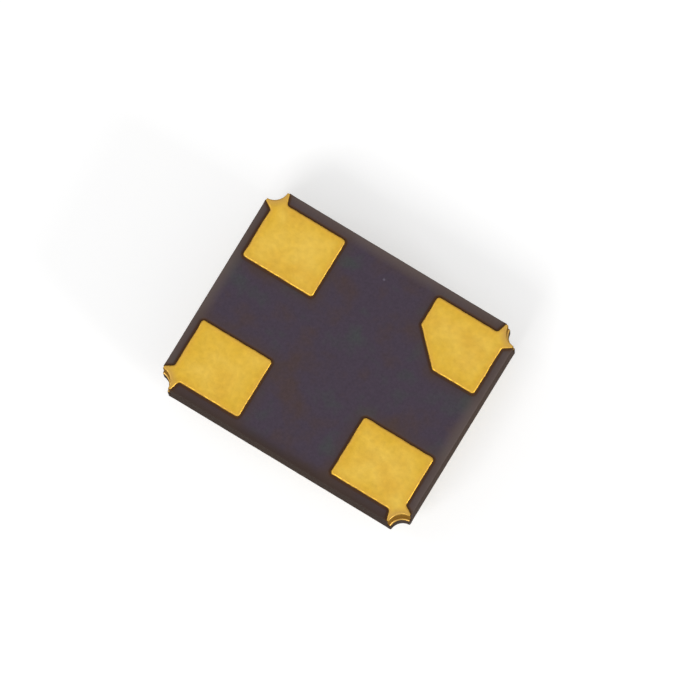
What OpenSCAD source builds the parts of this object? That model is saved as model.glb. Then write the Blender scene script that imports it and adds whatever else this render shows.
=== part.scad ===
// Surface-mount crystal oscillator in a seam-sealed ceramic package.
// It lies on its lid with the terminals up: Z runs from the lid's outer face to the terminals,
// X along the long side and Y along the short side, with the origin at the middle of the lid's face.
// The chamber opens towards the lid, so whatever is mounted in it stands towards smaller Z.

/* [Ceramic body] */
// Length of the ceramic body, along X
body_l = 2.5; // [2.08:0.01:3.2]
// Width of the ceramic body, along Y
body_w = 2; // [1.66:0.01:2.6]
// Radius of the quarter-round notch down each corner
notch_r = 0.15; // [0.12:0.005:0.18]
// Width of the ledge in each notch: the layers next to the lid have a smaller notch
notch_ledge_w = 0.03; // [0.01:0.005:0.04]
// Thickness of the ceramic layer under the chip, which carries the terminals
floor_layer_t = 0.15; // [0.1:0.005:0.2]
// Thickness of the layer that holds the chip pocket
bond_layer_t = 0.14; // [0.115:0.005:0.17]
// Thickness of the layer whose ends carry the crystal
shelf_layer_t = 0.13; // [0.11:0.005:0.18]
// Thickness of the rim layer around the crystal
rim_layer_t = 0.14; // [0.1:0.005:0.2]
// Thickness of the wall around the crystal's chamber
wall_t = 0.3; // [0.25:0.01:0.36]
// Length of the shelf that the crystal is glued to
mount_shelf_l = 0.36; // [0.3:0.01:0.43]
// Length of the shelf under the crystal's free end
rest_shelf_l = 0.25; // [0.22:0.01:0.3]
// Width of the shelf for the wires on each long side of the chip pocket
bond_shelf_w = 0.325; // [0.27:0.005:0.35]
// Length of the ledge at each end of the chip pocket
pocket_ledge_l = 0.195; // [0.15:0.005:0.25]
// Corner radius of the chamber and the chip pocket
cavity_corner_r = 0.08; // [0.04:0.01:0.1]
// Height of the ridge under the crystal's free end
rest_ridge_h = 0.02; // [0.01:0.005:0.02]
// Width of that ridge, along X
rest_ridge_w = 0.05; // [0.03:0.01:0.06]
// Distance from the shelf's edge to the ridge
rest_ridge_inset = 0.02; // [0.01:0.01:0.03]
// Distance from the ridge's ends to the long walls
rest_ridge_end_gap = 0.35; // [0.2:0.01:0.5]

/* [Terminals] */
// Length of a terminal, along X
pad_l = 0.71; // [0.55:0.01:0.86]
// Width of a terminal, along Y
pad_w = 0.58; // [0.5:0.01:0.7]
// Distance from the short edge of the body to the terminals
pad_end_margin = 0.08; // [0.06:0.01:0.1]
// Distance from the long edge of the body to the terminals
pad_side_margin = 0.1; // [0.06:0.01:0.12]
// Thickness of the metal that stands on the ceramic
pad_t = 0.015; // [0.01:0.001:0.03]
// Corner radius of a terminal
pad_corner_r = 0.03; // [0.01:0.005:0.05]
// Length cut off each side of the index terminal's inner corner
index_cut = 0.29; // [0.15:0.01:0.35]
// Length of pad edge that the neck to the notch takes up
neck_run = 0.11; // [0.05:0.005:0.12]
// Metal left beside the notch where the neck meets the body's edges
neck_collar = 0.01; // [0.005:0.005:0.03]
// Bare ceramic between the neck and the body's edges
neck_edge_gap = 0.008; // [0.004:0.002:0.02]
// Thickness of the plating on the notch walls
notch_plating_t = 0.012; // [0.008:0.001:0.02]

/* [Seal and lid] */
// Bare ceramic outside the metallised seal land
seal_edge_gap = 0.08; // [0.07:0.005:0.09]
// Bare ceramic between the seal land and the chamber
seal_mouth_gap = 0.01; // [0.005:0.005:0.015]
// Thickness of the seal land
seal_land_t = 0.01; // [0.005:0.001:0.02]
// Seal land left bare on each side of the seal ring
ring_margin = 0.02; // [0.015:0.001:0.03]
// Height of the seal ring
ring_t = 0.12; // [0.08:0.005:0.2]
// Outer corner radius of the seal ring
ring_corner_r = 0.2; // [0.18:0.01:0.3]
// Thickness of the braze under the seal ring
braze_t = 0.015; // [0.01:0.001:0.03]
// How far the braze runs out beyond the ring on each side
braze_run_out = 0.012; // [0.005:0.001:0.014]
// Distance from the ring's outer edge to the lid
lid_edge_gap = 0.04; // [0.02:0.005:0.08]
// Thickness of the lid
lid_t = 0.08; // [0.05:0.005:0.12]

/* [Chip and wires] */
// Thickness of the chip
die_t = 0.13; // [0.1:0.005:0.16]
// Gap between the chip and the walls of its pocket
die_gap = 0.075; // [0.05:0.005:0.1]
// Distance from the chip's edges to the middle of its bond sites
die_site_inset = 0.06; // [0.04:0.005:0.08]
// Thickness of the glue under the chip
die_attach_t = 0.015; // [0.005:0.001:0.02]
// How far the glue runs out beyond the chip
die_attach_run_out = 0.02; // [0.01:0.005:0.04]
// Bare ceramic around the metallised pocket floor
die_pad_gap = 0.03; // [0.01:0.005:0.04]
// Thickness of the printed conductors inside the package
metal_t = 0.01; // [0.006:0.001:0.015]
// Width of the printed conductors
trace_w = 0.1; // [0.06:0.01:0.12]
// Width of a bond finger
finger_w = 0.16; // [0.1:0.01:0.2]
// Length of a bond finger
finger_l = 0.24; // [0.22:0.01:0.25]
// Distance from the chip pocket to the bond fingers
finger_gap = 0.03; // [0.01:0.005:0.05]
// Distance from a finger's end to where the wire lands
finger_site_inset = 0.075; // [0.05:0.005:0.1]
// Distance from the chamber wall to the middle of the buried conductors
trace_wall_gap = 0.12; // [0.1:0.005:0.14]
// Distance from the finger's end to the conductor that runs to the crystal
crystal_trace_inset = 0.145; // [0.12:0.005:0.16]
// Radius of the plugs that join conductors through the ceramic
via_r = 0.04; // [0.03:0.005:0.05]
// Distance from the ground finger to the plug that earths the lid
ground_via_offset = 0.3; // [0.2:0.01:0.35]
// Diameter of the bond wires
wire_d = 0.02; // [0.015:0.001:0.025]
// Radius of the ball at the chip end of a wire
ball_r = 0.028; // [0.02:0.002:0.034]
// Height of that ball
ball_h = 0.012; // [0.008:0.001:0.02]
// Radius of the bend at the top of a wire
wire_bend_r = 0.035; // [0.025:0.005:0.04]
// Angle at which a wire comes down to its finger
wire_slope = 25; // [18:1:30]
// How much further apart the fingers are than the chip's bond sites
wire_fan = 0.06; // [0:0.01:0.1]

/* [Crystal] */
// Thickness of the quartz blank
blank_t = 0.04; // [0.03:0.005:0.06]
// Gap between the glued end of the blank and the chamber wall
blank_mount_gap = 0.13; // [0.1:0.01:0.16]
// Gap between the free end of the blank and the chamber wall
blank_free_gap = 0.17; // [0.1:0.01:0.18]
// Gap between each long side of the blank and the chamber wall
blank_side_gap = 0.2; // [0.1:0.01:0.25]
// Thickness of the metal film of the electrodes
film_t = 0.003; // [0.002:0.001:0.005]
// Bare quartz between the glued end of the blank and the electrodes
electrode_mount_margin = 0.33; // [0.28:0.01:0.4]
// Bare quartz between the free end of the blank and the electrodes
electrode_free_margin = 0.3; // [0.2:0.01:0.4]
// Bare quartz beside the electrodes
electrode_side_margin = 0.14; // [0.1:0.01:0.18]
// Width of the tab that leads each electrode to the glued end
tab_w = 0.14; // [0.1:0.01:0.18]
// Length of the contact that each tab makes on the far face
contact_l = 0.2; // [0.15:0.01:0.24]
// Length of the metal land under each glue dot
land_l = 0.24; // [0.2:0.01:0.28]
// Width of that land
land_w = 0.26; // [0.2:0.01:0.28]
// Distance from the blank's long side to the middle of the land
land_inset = 0.17; // [0.16:0.01:0.2]
// Radius of the conductive glue dots
glue_r = 0.115; // [0.1:0.005:0.12]
// Thickness of glue between the land and the blank
glue_bed_t = 0.02; // [0.015:0.005:0.03]
// Height of glue over the blank's lid side
glue_cap_t = 0.018; // [0.01:0.001:0.03]
// Radius of the top of a glue dot
glue_cap_r = 0.07; // [0.05:0.005:0.09]

/* [Hidden] */
$fn = 96;
through = 0.05; // how far a cutting tool reaches past the face it cuts

// Levels, counted up from the lid's outer face
z_ring = lid_t;
z_braze = z_ring + ring_t;
z_land = z_braze + braze_t;
z_rim = z_land + seal_land_t;
z_shelf = z_rim + rim_layer_t;
z_bond = z_shelf + shelf_layer_t;
z_floor = z_bond + bond_layer_t;
z_base = z_floor + floor_layer_t;
z_top = z_base + pad_t;

// Plan of the body, chamber and chip pocket
half_l = body_l / 2;
half_w = body_w / 2;
chamber_l = body_l - 2 * wall_t;
chamber_w = body_w - 2 * wall_t;
well_l = chamber_l - mount_shelf_l - rest_shelf_l;
well_x = (mount_shelf_l - rest_shelf_l) / 2;
pocket_l = well_l - 2 * pocket_ledge_l;
pocket_w = chamber_w - 2 * bond_shelf_w;

// Plan of the seal land and of the ring that stands on it
seal_l = body_l - 2 * seal_edge_gap;
seal_w = body_w - 2 * seal_edge_gap;
seal_rail = wall_t - seal_edge_gap - seal_mouth_gap;
seal_mouth_r = cavity_corner_r + seal_mouth_gap;
ring_l = seal_l - 2 * ring_margin;
ring_w = seal_w - 2 * ring_margin;
ring_rail = seal_rail - 2 * ring_margin;
ring_mouth_r = seal_mouth_r + ring_margin;

// Chip, and the two rows of three bond sites on it and on the fingers
die_l = pocket_l - 2 * die_gap;
die_w = pocket_w - 2 * die_gap;
z_die_pad = z_floor - metal_t;
z_die_attach = z_die_pad - die_attach_t;
z_die = z_die_attach - die_t;
z_finger = z_bond - metal_t;
die_site_pitch = die_l / 2 - die_site_inset;
finger_pitch = die_site_pitch + wire_fan;
finger_y0 = pocket_w / 2 + finger_gap;
trace_y = chamber_w / 2 + trace_wall_gap;
crystal_trace_y = finger_y0 + crystal_trace_inset;

// Crystal, its lands and its glue
blank_l = chamber_l - blank_mount_gap - blank_free_gap;
blank_w = chamber_w - 2 * blank_side_gap;
blank_x0 = blank_mount_gap - chamber_l / 2;
z_crystal_land = z_shelf - metal_t;
z_blank_far = z_crystal_land - glue_bed_t;
z_blank = z_blank_far - blank_t;
land_x = (mount_shelf_l - chamber_l) / 2;
land_y = blank_w / 2 - land_inset;
electrode_l = blank_l - electrode_mount_margin - electrode_free_margin;
electrode_w = blank_w - 2 * electrode_side_margin;

// Places of the bond sites: column -1, 0 or 1 along X, row -1 or 1 along Y
function die_site(column, row) = [well_x + column * die_site_pitch, row * (die_w / 2 - die_site_inset)];
function finger_site(column, row) = [well_x + column * finger_pitch, row * (finger_y0 + finger_site_inset)];

// Outline of a strip of one width along a path, with mitred bends
function along(path, i) = let (d = path[i + 1] - path[i]) d / norm(d);
function aside(d) = [-d[1], d[0]];
function mitre(path, i) =
    i == 0 ? aside(along(path, 0)) :
    i == len(path) - 1 ? aside(along(path, i - 1)) :
    let (a = aside(along(path, i - 1)), b = aside(along(path, i))) (a + b) / (1 + a * b);
function strip(path, width) = concat(
    [for (i = [0:len(path) - 1]) path[i] - mitre(path, i) * width / 2],
    [for (i = [len(path) - 1:-1:0]) path[i] + mitre(path, i) * width / 2]
);

// A rectangle with round corners, centred
module rounded_rectangle(l, w, r) {
    union() {
        square([l - 2 * r, w], center = true);
        square([l, w - 2 * r], center = true);
        for (x = [-1, 1], y = [-1, 1])
            translate([x * (l / 2 - r), y * (w / 2 - r)]) circle(r = r);
    }
}

module rounded_plate(l, w, t, r) {
    linear_extrude(height = t) rounded_rectangle(l, w, r);
}

// A flat frame: a plate, less an opening that leaves a rail of one width
module rounded_frame(l, w, t, r, rail, mouth_r) {
    difference() {
        rounded_plate(l, w, t, r);
        translate([0, 0, -through]) rounded_plate(l - 2 * rail, w - 2 * rail, t + 2 * through, mouth_r);
    }
}

// Turns a shape made for the corner at +X +Y into the one for another corner
module at_corner(x, y) {
    mirror([x < 0 ? 1 : 0, 0, 0]) mirror([0, y < 0 ? 1 : 0, 0]) children();
}

// The round tool that cuts the notch at the corner at +X +Y
module corner_cutter(r, z0, z1) {
    translate([half_l, half_w, z0]) cylinder(r = r, h = z1 - z0);
}

// Plate welded round its edge to the seal ring
module lid() {
    color("silver")
        rounded_plate(ring_l - 2 * lid_edge_gap, ring_w - 2 * lid_edge_gap, lid_t,
                      ring_corner_r - lid_edge_gap);
}

module seal_ring() {
    color("gold") translate([0, 0, z_ring])
        rounded_frame(ring_l, ring_w, ring_t, ring_corner_r, ring_rail, ring_mouth_r);
}

// Thin braze joint, a little wider than the ring's foot
module braze_ring() {
    color("gold") translate([0, 0, z_braze])
        rounded_frame(ring_l + 2 * braze_run_out, ring_w + 2 * braze_run_out, braze_t,
                      ring_corner_r + braze_run_out, ring_rail + 2 * braze_run_out,
                      ring_mouth_r - braze_run_out);
}

// Metallised land fired on to the ceramic's rim
module seal_land() {
    color("goldenrod") translate([0, 0, z_land])
        rounded_frame(seal_l, seal_w, seal_land_t, ring_corner_r + ring_margin, seal_rail, seal_mouth_r);
}

// Ridge that keeps the crystal's free end off the shelf
module rest_ridge() {
    ridge_x = chamber_l / 2 - rest_shelf_l + rest_ridge_inset;
    ridge_l = chamber_w - 2 * rest_ridge_end_gap;
    translate([ridge_x, -ridge_l / 2, z_shelf - rest_ridge_h]) cube([rest_ridge_w, ridge_l, rest_ridge_h]);
}

// The fired ceramic: one piece, stepped inside, with the buried conductors' places left open
module ceramic_base() {
    color([0.29, 0.25, 0.28]) union() {
        difference() {
            translate([-half_l, -half_w, z_rim]) cube([body_l, body_w, z_base - z_rim]);
            for (x = [-1, 1], y = [-1, 1]) at_corner(x, y) {
                corner_cutter(notch_r, z_finger, z_base + through);
                corner_cutter(notch_r - notch_ledge_w, z_rim - through, z_base);
            }
            translate([0, 0, z_rim - through])
                rounded_plate(chamber_l, chamber_w, rim_layer_t + through, cavity_corner_r);
            translate([well_x, 0, z_shelf - through])
                rounded_plate(well_l, chamber_w, shelf_layer_t + through, cavity_corner_r);
            translate([well_x, 0, z_bond - through])
                rounded_plate(pocket_l, pocket_w, bond_layer_t + through, cavity_corner_r);
            for (y = [-1, 1]) {
                corner_lead(0, -1, y);
                corner_lead(1, 1, y);
                crystal_lead(y);
            }
            ground_via();
        }
        rest_ridge();
    }
}

// Plan of the terminal at +X +Y, with the neck that reaches the notch
module pad_outline(has_index) {
    x1 = half_l - pad_end_margin;
    y1 = half_w - pad_side_margin;
    difference() {
        translate([x1 - pad_l / 2, y1 - pad_w / 2]) rounded_rectangle(pad_l, pad_w, pad_corner_r);
        if (has_index)
            translate([x1 - pad_l - through, y1 - pad_w - through])
                polygon([[0, 0], [index_cut + 2 * through, 0], [0, index_cut + 2 * through]]);
    }
    polygon([
        [x1 - neck_run, y1],
        [half_l - notch_r - neck_collar, half_w - neck_edge_gap],
        [half_l, half_w - neck_edge_gap],
        [half_l - neck_edge_gap, half_w],
        [half_l - neck_edge_gap, half_w - notch_r - neck_collar],
        [x1, y1 - neck_run],
        [x1 - neck_run, y1 - neck_run]
    ]);
}

// One terminal: a land under the body and the plating up its corner notch
module terminal(x, y, has_index) {
    color("gold") at_corner(x, y) union() {
        difference() {
            translate([0, 0, z_base]) linear_extrude(height = pad_t) pad_outline(has_index);
            corner_cutter(notch_r, z_base - through, z_top + through);
        }
        intersection() {
            difference() {
                corner_cutter(notch_r, z_finger, z_top);
                corner_cutter(notch_r - notch_plating_t, z_finger - through, z_top + through);
            }
            translate([0, 0, z_finger]) cube([half_l, half_w, z_top - z_finger]);
        }
    }
}

// Printed metal on the bond shelf, part of it buried under the layer above
module shelf_metal() {
    translate([0, 0, z_finger]) linear_extrude(height = metal_t) union() children();
}

// The bare end of a conductor, where a wire lands
module bond_finger(site_x) {
    translate([site_x - finger_w / 2, finger_y0]) square([finger_w, finger_l]);
}

// Bond finger and the buried conductor that takes it to the notch of its corner
module corner_lead(column, x, y) {
    site_x = x * finger_site(column, 1)[0];
    site_y = finger_site(column, 1)[1];
    elbow_x = half_l - (half_w - trace_y);
    at_corner(x, y) difference() {
        shelf_metal() {
            bond_finger(site_x);
            polygon(strip([[site_x, site_y], [site_x, trace_y], [elbow_x, trace_y], [half_l, half_w]],
                          trace_w));
        }
        corner_cutter(notch_r, z_finger - through, z_bond + through);
    }
}

// Plug through the upper layers, from the ground conductor to the seal land
module ground_via() {
    translate([finger_site(1, 1)[0] + ground_via_offset, -trace_y, z_rim])
        cylinder(r = via_r, h = z_finger - z_rim);
}

module lead_ground() {
    color("dimgray") union() {
        corner_lead(1, 1, -1);
        ground_via();
    }
}

// Bond finger, buried conductor, plug and land that reach one end of the crystal
module crystal_lead(y) {
    site_x = finger_site(-1, 1)[0];
    at_corner(1, y) union() {
        shelf_metal() {
            bond_finger(site_x);
            polygon(strip([[site_x, crystal_trace_y], [land_x, crystal_trace_y], [land_x, land_y - via_r]],
                          trace_w));
        }
        translate([land_x, land_y, z_shelf]) cylinder(r = via_r, h = z_finger - z_shelf);
        translate([land_x - land_l / 2, land_y - land_w / 2, z_crystal_land]) cube([land_l, land_w, metal_t]);
    }
}

module die_pad() {
    color("goldenrod") translate([well_x, 0, z_die_pad])
        rounded_plate(pocket_l - 2 * die_pad_gap, pocket_w - 2 * die_pad_gap, metal_t,
                      cavity_corner_r - die_pad_gap);
}

module die_attach() {
    color("lightgray") translate([well_x, 0, z_die_attach])
        rounded_plate(die_l + 2 * die_attach_run_out, die_w + 2 * die_attach_run_out,
                      die_attach_t, die_attach_run_out);
}

module ic_die() {
    color("slategray") translate([well_x - die_l / 2, -die_w / 2, z_die]) cube([die_l, die_w, die_t]);
}

// Gold wire: a ball on the chip, a short riser, a bend, and a straight fall that ends on the finger
module bond_wire(column, row) {
    from = die_site(column, row);
    to = finger_site(column, row);
    span = norm(to - from);
    turn = 90 + wire_slope;
    fall_x = wire_bend_r * (1 - cos(turn));
    fall_h = (span - fall_x) * tan(wire_slope);
    riser_h = z_die - z_finger + fall_h - wire_bend_r * sin(turn);
    fall_l = (span - fall_x) / cos(wire_slope) + wire_d;
    color("gold") translate([from[0], from[1], z_die])
        rotate([0, 0, atan2(to[1] - from[1], to[0] - from[0])]) mirror([0, 0, 1]) difference() {
            union() {
                cylinder(r = ball_r, h = ball_h);
                cylinder(r = wire_d / 2, h = riser_h);
                translate([wire_bend_r, 0, riser_h]) rotate([90, 0, 0]) rotate([0, 0, 180 - turn])
                    rotate_extrude(angle = turn) translate([wire_bend_r, 0]) circle(r = wire_d / 2);
                translate([fall_x, 0, riser_h + wire_bend_r * sin(turn)]) rotate([0, 90 + wire_slope, 0])
                    cylinder(r = wire_d / 2, h = fall_l);
            }
            translate([span - fall_l, -wire_d, z_die - z_finger - fall_l])
                cube([2 * fall_l, 2 * wire_d, fall_l]);
        }
}

module quartz_blank() {
    color("lightcyan") translate([blank_x0, -blank_w / 2, z_blank]) cube([blank_l, blank_w, blank_t]);
}

// Film electrode: a plate on one face, and a tab that wraps round the glued end to the other face
module electrode(plate_z, contact_z, y) {
    tab_y = y * land_y - tab_w / 2;
    color("whitesmoke") union() {
        translate([blank_x0 + electrode_mount_margin, -electrode_w / 2, plate_z])
            cube([electrode_l, electrode_w, film_t]);
        translate([blank_x0 - film_t, tab_y, plate_z])
            cube([electrode_mount_margin + 2 * film_t, tab_w, film_t]);
        translate([blank_x0 - film_t, tab_y, z_blank - film_t]) cube([film_t, tab_w, blank_t + 2 * film_t]);
        translate([blank_x0 - film_t, tab_y, contact_z]) cube([contact_l, tab_w, film_t]);
    }
}

module lid_side_electrode() {
    electrode(z_blank - film_t, z_blank_far, 1);
}

module chip_side_electrode() {
    electrode(z_blank_far, z_blank - film_t, -1);
}

// Blob of silver-filled glue that grips the blank's corner and its contact
module glue_dot(y) {
    crown_h = blank_t / 2 + glue_cap_t;
    stem_h = glue_bed_t + blank_t / 2;
    color("lightgray") difference() {
        translate([land_x, y * land_y, z_crystal_land]) mirror([0, 0, 1]) union() {
            cylinder(r = glue_r, h = stem_h);
            translate([0, 0, stem_h]) cylinder(r1 = glue_r, r2 = glue_cap_r, h = crown_h);
        }
        quartz_blank();
        lid_side_electrode();
        chip_side_electrode();
    }
}

lid();
seal_ring();
braze_ring();
seal_land();
ceramic_base();
terminal(1, 1, true);  // terminal_enable
terminal(1, -1, false);  // terminal_ground
terminal(-1, -1, false);  // terminal_output
terminal(-1, 1, false);  // terminal_supply
color("dimgray") corner_lead(1, 1, 1);  // lead_enable
lead_ground();
color("dimgray") corner_lead(0, -1, -1);  // lead_output
color("dimgray") corner_lead(0, -1, 1);  // lead_supply
color("dimgray") crystal_lead(1);  // crystal_lead_a
color("dimgray") crystal_lead(-1);  // crystal_lead_b
die_pad();
die_attach();
ic_die();
bond_wire(1, 1);  // wire_enable
bond_wire(1, -1);  // wire_ground
bond_wire(0, -1);  // wire_output
bond_wire(0, 1);  // wire_supply
bond_wire(-1, 1);  // wire_crystal_a
bond_wire(-1, -1);  // wire_crystal_b
glue_dot(1);  // glue_dot_a
glue_dot(-1);  // glue_dot_b
quartz_blank();
lid_side_electrode();
chip_side_electrode();
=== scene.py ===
"""Surface-mount crystal oscillator: finish of its ceramic body, plated terminals, seal and bond wires."""

import math

import bmesh
import bpy
import numpy as np
from bpy.props import FloatProperty, FloatVectorProperty, IntProperty, PointerProperty
from mathutils import Matrix, Vector, noise
from mathutils.geometry import delaunay_2d_cdt


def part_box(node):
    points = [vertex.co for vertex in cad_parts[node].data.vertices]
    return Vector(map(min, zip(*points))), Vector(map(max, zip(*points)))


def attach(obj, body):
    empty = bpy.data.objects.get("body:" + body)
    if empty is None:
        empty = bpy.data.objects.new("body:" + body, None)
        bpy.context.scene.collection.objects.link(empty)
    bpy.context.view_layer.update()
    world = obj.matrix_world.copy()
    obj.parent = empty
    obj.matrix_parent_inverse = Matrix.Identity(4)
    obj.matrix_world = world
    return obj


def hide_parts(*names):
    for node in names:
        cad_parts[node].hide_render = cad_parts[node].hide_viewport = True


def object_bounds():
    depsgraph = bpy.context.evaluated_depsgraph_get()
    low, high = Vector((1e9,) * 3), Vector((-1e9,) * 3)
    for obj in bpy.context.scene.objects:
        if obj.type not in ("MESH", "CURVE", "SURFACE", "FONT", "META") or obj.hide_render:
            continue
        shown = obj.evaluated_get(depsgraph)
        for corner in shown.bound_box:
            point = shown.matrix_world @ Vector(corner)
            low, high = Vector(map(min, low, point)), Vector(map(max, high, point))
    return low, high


bl_info = {
    "name": "Crystal oscillator",
    "version": (1, 0, 0),
    "blender": (4, 5, 0),
    "location": "View3D > Sidebar > Oscillator",
    "description": "Builds the visible surfaces of a ceramic surface-mount crystal oscillator",
    "category": "Mesh",
}

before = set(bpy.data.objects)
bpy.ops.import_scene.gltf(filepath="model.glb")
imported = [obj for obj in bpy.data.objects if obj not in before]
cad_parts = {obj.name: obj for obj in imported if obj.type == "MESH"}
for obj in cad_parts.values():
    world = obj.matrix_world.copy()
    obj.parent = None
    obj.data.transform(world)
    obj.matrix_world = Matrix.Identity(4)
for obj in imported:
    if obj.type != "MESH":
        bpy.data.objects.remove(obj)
CAD_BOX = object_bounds()

MM = 0.001  # metres in a millimetre; meshes are built in millimetres and scaled once at the end
BODY = "root"
JOIN = 1e-5  # points nearer than this, in millimetres, are one point
SHARP = math.radians(38)  # faces that meet at a sharper turn than this keep their crease
RING_R = 0.2  # corner radius of the seal ring in millimetres; the other frames' radii follow from it
CORNERS = ((1, 1), (-1, 1), (-1, -1), (1, -1))  # signs of X and Y, anticlockwise
QUADRANTS = {"enable": (1, 1), "ground": (1, -1), "output": (-1, -1), "supply": (-1, 1)}


# ---------------------------------------------------------------- settings

def linear(code):
    """A hex sRGB colour as linear red, green, blue and alpha."""
    parts = [int(code[i:i + 2], 16) / 255 for i in (1, 3, 5)]
    return tuple(c / 12.92 if c <= 0.04045 else ((c + 0.055) / 1.055) ** 2.4 for c in parts) + (1.0,)


def length(name, description, size):
    """A length property whose default is given in millimetres."""
    return FloatProperty(
        name=name, description=description, default=size * MM, min=0, precision=6, unit="LENGTH")


def colour(name, description, code):
    """A colour property whose default is given as a hex sRGB code."""
    return FloatVectorProperty(
        name=name, description=description, default=linear(code), size=4, min=0, max=1, subtype="COLOR")


class CeramicSettings(bpy.types.PropertyGroup):
    notch_r: length("Notch radius", "Radius of the round notch down each corner", 0.15)
    ledge_w: length("Notch ledge", "Width of the ledge where a notch narrows towards the lid", 0.03)
    edge_r: length("Edge rounding", "Rounding of the body's outer edges", 0.005)
    wall: length("Wall", "Thickness of the wall round the crystal's chamber", 0.3)
    mount_shelf: length("Mount shelf", "Length of the shelf that the crystal is glued to", 0.36)
    rest_shelf: length("Rest shelf", "Length of the shelf under the crystal's free end", 0.25)
    bond_shelf: length("Bond shelf", "Width of the shelf beside the chip pocket", 0.325)
    pocket_ledge: length("Pocket ledge", "Ledge at each end of the chip pocket", 0.195)
    cavity_r: length("Cavity corner radius", "Corner radius of the chamber and the pocket", 0.08)
    rim_layer: length("Rim layer", "Thickness of the layer round the crystal", 0.14)
    shelf_layer: length("Shelf layer", "Thickness of the layer that carries the crystal", 0.13)
    bond_layer: length("Bond layer", "Thickness of the layer that holds the pocket", 0.14)
    score_h: length("Scored height", "Depth that the blade scores before the bodies are snapped apart", 0.12)
    score_d: length("Score taper", "How far the blade's cut leans in at the edge", 0.003)
    broken_d: length("Broken depth", "Unevenness of the snapped part of the walls", 0.005)
    trough: length("Trough width", "Width of the trough that printing leaves round each terminal", 0.026)
    trough_depth: length("Trough depth", "Depth of that trough", 0.005)
    body: colour("Body colour", "Fired ceramic", "#443a46")
    warm: colour("Warm patches", "Ceramic where more iron shows", "#493a39")
    cool: colour("Cool patches", "Ceramic where less iron shows", "#414344")
    grain: colour("Grain colour", "Pale grain of alumina in the face", "#7d7686")
    bled: colour("Bled colour", "Ceramic that the terminals' glass has bled into", "#4a3a2f")
    # painted shade: a dark brown band on the ceramic right beside each terminal
    stain: colour("Stain", "Ceramic right beside a terminal", "#482f1a")
    # painted light: the face is paler along three of its edges
    painted_light: colour("Rubbed colour", "Ceramic rubbed pale along three edges of the face", "#5c504c")
    # painted shade: the face along the -Y edge and the wall below it are darker
    painted_shade: colour("Sooty colour", "Ceramic left dark along the fourth edge and its wall", "#3a2d26")
    broken: colour("Wall colour", "Ceramic where the body was scored and snapped", "#43362f")
    joint: colour("Joint colour", "Line where two tape layers were pressed together", "#271c16")


class TerminalSettings(bpy.types.PropertyGroup):
    pad_l: length("Land length", "Length of a land along the long side", 0.71)
    pad_w: length("Land width", "Width of a land along the short side", 0.58)
    corner_r: length("Land corner radius", "Rounding of a land's corners", 0.03)
    index_cut: length("Index cut", "Length cut off each side of the index land's inner corner", 0.29)
    neck_run: length("Neck run", "Length of land edge that the neck takes up", 0.11)
    neck_gap: length("Neck margin", "Bare ceramic between the neck and the body's edges", 0.008)
    neck_collar: length("Neck collar", "Metal beside the notch where the neck meets the edges", 0.01)
    plating: length("Wall plating", "Thickness of the plating on the notch wall", 0.012)
    edge_w: length("Edge width", "Width of the rounded edge of the printed metal", 0.016)
    edge_h: length("Edge height", "Height of the rounded edge of the printed metal", 0.013)
    gold: colour("Gold", "Electroplated gold on the terminals", "#d1a93b")
    # painted sheen in the middle of each land, mixed with random cloudy tone
    pale: colour("Pale gold", "Gold where the plating lies smooth", "#dab54e")
    # also painted shade towards the edges of each land
    deep_and_shade: colour("Deep gold", "Gold where it is thickest", "#ca9b34")
    # painted shade along the rounded edges
    rim: colour("Rim gold", "Gold dulled along the rounded edges", "#bb9647")
    wall: colour("Wall gold", "Thin gold on the notch walls", "#b5904c")


class SealSettings(bpy.types.PropertyGroup):
    edge_r: length("Edge rounding", "Rounding of the stamped seal ring's edges", 0.012)
    film_r: length("Film edge", "Rounding of the metallised land's edge", 0.004)
    land_gap: length("Land gap", "Bare ceramic between the seal land and the chamber's edge", 0.01)
    ring: colour("Ring gold", "Thin gold over nickel on the seal ring", "#dcc07a")
    braze: colour("Braze", "Silver-copper braze", "#d9cdb4")


class LidSettings(bpy.types.PropertyGroup):
    margin: length("Lid inset", "Distance from the ring's outer edge to the lid", 0.04)
    press_w: length("Pressed margin", "Width of the margin that the weld wheels press", 0.11)
    press_h: length("Pressed depth", "How far the weld wheels press that margin", 0.012)
    bead_r: length("Bead radius", "Radius of the weld bead along the lid's edge", 0.016)
    pitch: length("Weld pitch", "Distance between overlapping weld spots", 0.034)
    nickel: colour("Nickel", "Electroplated nickel on the lid", "#c9c3b6")


class WireSettings(bpy.types.PropertyGroup):
    diameter: length("Wire diameter", "Diameter of the gold bond wire", 0.02)
    ball_r: length("Ball radius", "Radius of the ball at the chip end", 0.028)
    ball_h: length("Ball height", "Height of the ball at the chip end", 0.012)
    bend_r: length("Bend radius", "Radius of the bend at the top of a wire", 0.035)
    slope: FloatProperty(
        name="Slope", description="Angle at which a wire comes down to its finger",
        default=math.radians(25), subtype="ANGLE")
    steps: IntProperty(name="Bend steps", description="Points along a wire's bend", default=14, min=4)
    gold: colour("Wire gold", "Drawn gold wire", "#f0c664")


class StageSettings(bpy.types.PropertyGroup):
    tilt: FloatProperty(
        name="Camera tilt", description="Angle between the line of sight and the terminal face's normal",
        default=math.radians(6.8), subtype="ANGLE")
    heading: FloatProperty(
        name="Tilt heading", description="Plan direction that the camera leans towards, from +X",
        default=math.radians(-49.5), subtype="ANGLE")
    roll: FloatProperty(
        name="Camera roll", description="Turn of the camera about its line of sight",
        default=math.radians(31.47), subtype="ANGLE")
    distance: length("Camera distance", "Distance from the camera to the part", 90)
    view_w: length("View width", "Width of the view at the part", 6.055)
    aim_right: length("Aim right", "How far right of the part's middle the camera aims", 0.0945)
    aim_up: length("Aim up", "How far above the part's middle the camera aims", 0.1054)
    floor: colour("Floor", "Pale floor", "#d2d2d2")
    lift: FloatProperty(
        name="Floor lift", description="Whiteness that the floor shows to the camera alone", default=0.47)
    ambient: FloatProperty(
        name="Ambient", description="Strength of the surrounding light on matt surfaces", default=0.45)


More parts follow.
